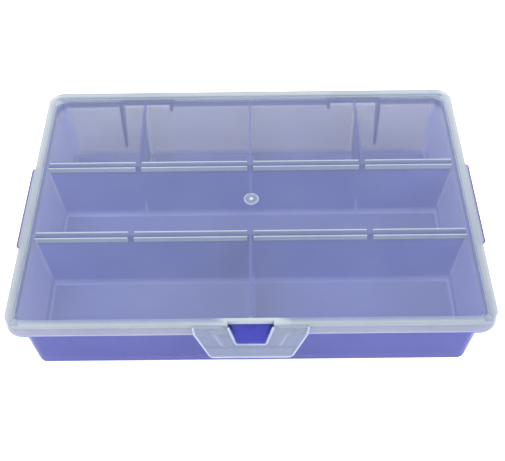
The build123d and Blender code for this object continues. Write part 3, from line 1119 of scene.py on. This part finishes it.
        # The border, window edge, bottom edge and slanting ribs are painted lighter and milkier: painted
        # highlights, partly light scattered in the plastic.
        rim = max(1 - smooth((edge - 0.55) / 0.5), 1 - smooth((z - bottom_z - 0.6) / 0.5))
        if z > win_z:
            rim = max(rim, 1 - smooth((ax - window(z) - 0.5) / 0.4))
        elif ax < win_bottom + 0.4:
            rim = max(rim, 1 - smooth((win_z - z - 0.5) / 0.4))
        # Painted shade: darker along the bend.
        fold = 1 - smooth(abs(z - bend_z) / 0.7)
        p, q = Vector((17.9, 41.6)), Vector((14.1, 31.2))
        t = max(0.0, min(1.0, (q - p).dot(Vector((ax, z)) - p) / (q - p).length_squared))
        rib_highlight = 1 - smooth((Vector((ax, z)) - p - (q - p) * t).length / 1.0)
        rim = max(rim, 0.42 * rib_highlight)
        haze = 0.44 + 0.42 * rim + (0.10 if z < bend_z - 0.5 else 0.0)
        k = 0.95 + 0.55 * rim - 0.20 * fold * (1 - rim)
        return haze, (k, k, k * (1 + 0.02 * rim))

    paint(obj, look)
    return obj


latch = build_latch()


def build_strips():
    """Living hinge: a thin web between the lid's rim and the latch, thinnest in its middle."""
    verts, faces = [], []
    prof_n = 14
    y0, y1 = -(LID_HY - 0.45) + 0.55, LATCH_BACK - 0.5
    for sign in (-1, 1):
        base = len(verts)
        xs = [13.2 + (27.4 - 13.2) * k / 10 for k in range(11)]
        for x in xs:
            for k in range(prof_n + 1):
                t = k / prof_n
                y = y0 + (y1 - y0) * t
                verts.append((sign * x, y, LATCH_TOP - 0.04 - 0.10 * math.sin(math.pi * t)))
            for k in range(prof_n, -1, -1):
                t = k / prof_n
                y = y0 + (y1 - y0) * t
                verts.append((sign * x, y, LATCH_TOP - 0.44 + 0.06 * math.sin(math.pi * t)))
        m = 2 * (prof_n + 1)
        for a in range(len(xs) - 1):
            for b in range(m):
                c = (b + 1) % m
                p, q = base + a * m, base + (a + 1) * m
                faces.append((p + b, p + c, q + c, q + b))
        faces.append(tuple(base + b for b in range(m)))
        faces.append(tuple(base + (len(xs) - 1) * m + b for b in range(m - 1, -1, -1)))
    mesh_obj = new_object("latch_living_hinge", verts, faces, "lid", 50)
    mesh_obj.parent = None
    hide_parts("latch_hinge_strips")
    mesh_obj.data.materials.append(MAT_LATCH)
    paint(mesh_obj, lambda x, y, z: (0.55, (1.1, 1.1, 1.1)))
    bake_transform(mesh_obj)
    return mesh_obj


build_strips()

# ------------------------------------------------------------------- stage
floor_mesh = bpy.data.meshes.new("floor")
S = 6.0
floor_mesh.from_pydata([(-S, -S, 0), (S, -S, 0), (S, S, 0), (-S, S, 0)], [], [(0, 1, 2, 3)])
floor = bpy.data.objects.new("floor", floor_mesh)
scene.collection.objects.link(floor)
fmat, fnt, fbsdf, _ = node_tools("floor_white")
fbsdf.inputs["Base Color"].default_value = (0.95, 0.95, 0.95, 1)
fbsdf.inputs["Emission Color"].default_value = (1.0, 1.0, 1.0, 1)
fbsdf.inputs["Emission Strength"].default_value = 0.5
fbsdf.inputs["Roughness"].default_value = 0.9
fbsdf.inputs["Specular IOR Level"].default_value = 0.1
floor_mesh.materials.append(fmat)

world = bpy.data.worlds.new("studio")
scene.world = world
world.use_nodes = True
bg = world.node_tree.nodes["Background"]
bg.inputs["Color"].default_value = (1.0, 1.0, 1.0, 1)
bg.inputs["Strength"].default_value = 0.70


def area(name, loc, target, size, power, color=(1, 1, 1)):
    data = bpy.data.lights.new(name, "AREA")
    data.shape = "RECTANGLE"
    data.size, data.size_y = size
    data.energy = power
    data.color = color
    obj = bpy.data.objects.new(name, data)
    obj.location = loc
    d = Vector(target) - Vector(loc)
    obj.rotation_euler = d.to_track_quat("-Z", "Y").to_euler()
    scene.collection.objects.link(obj)
    return obj


area("key", (-0.35, -0.25, 0.95), (0, 0, 0.02), (0.6, 0.6), 5.0)
area("fill", (0.6, -0.5, 0.7), (0, 0, 0.02), (0.7, 0.5), 3.6)
area("back", (0.0, 0.75, 0.65), (0, 0, 0.02), (0.9, 0.4), 5.0)

# ------------------------------------------------------------------ camera
cam_data = bpy.data.cameras.new("camera")
cam = bpy.data.objects.new("camera", cam_data)
scene.collection.objects.link(cam)
scene.camera = cam
cam_data.sensor_fit = "HORIZONTAL"
cam_data.sensor_width = 36.0
cam_data.lens = 836.0 / 505.0 * 36.0
cam_data.clip_start, cam_data.clip_end = 0.01, 20.0
cam_data.dof.use_dof = False
pitch, yaw, roll = 0.89877, 0.0092, -0.017993
fwd = Vector((0, math.cos(pitch), -math.sin(pitch)))
right = Vector((1, 0, 0))
up = right.cross(fwd)
turn = Matrix.Rotation(yaw, 3, "Z")
fwd, right, up = turn @ fwd, turn @ right, turn @ up
c, s = math.cos(roll), math.sin(roll)
r2, u2 = c * right + s * up, -s * right + c * up
m = Matrix((r2, u2, -fwd)).transposed().to_4x4()
m.translation = Vector((3.623, -294.476, 385.627)) * MM
cam.matrix_world = m

scene.view_settings.view_transform = "Standard"
scene.view_settings.look = "None"
scene.view_settings.exposure = 0.0
scene.view_settings.gamma = 1.0
scene.cycles.transparent_max_bounces = 32
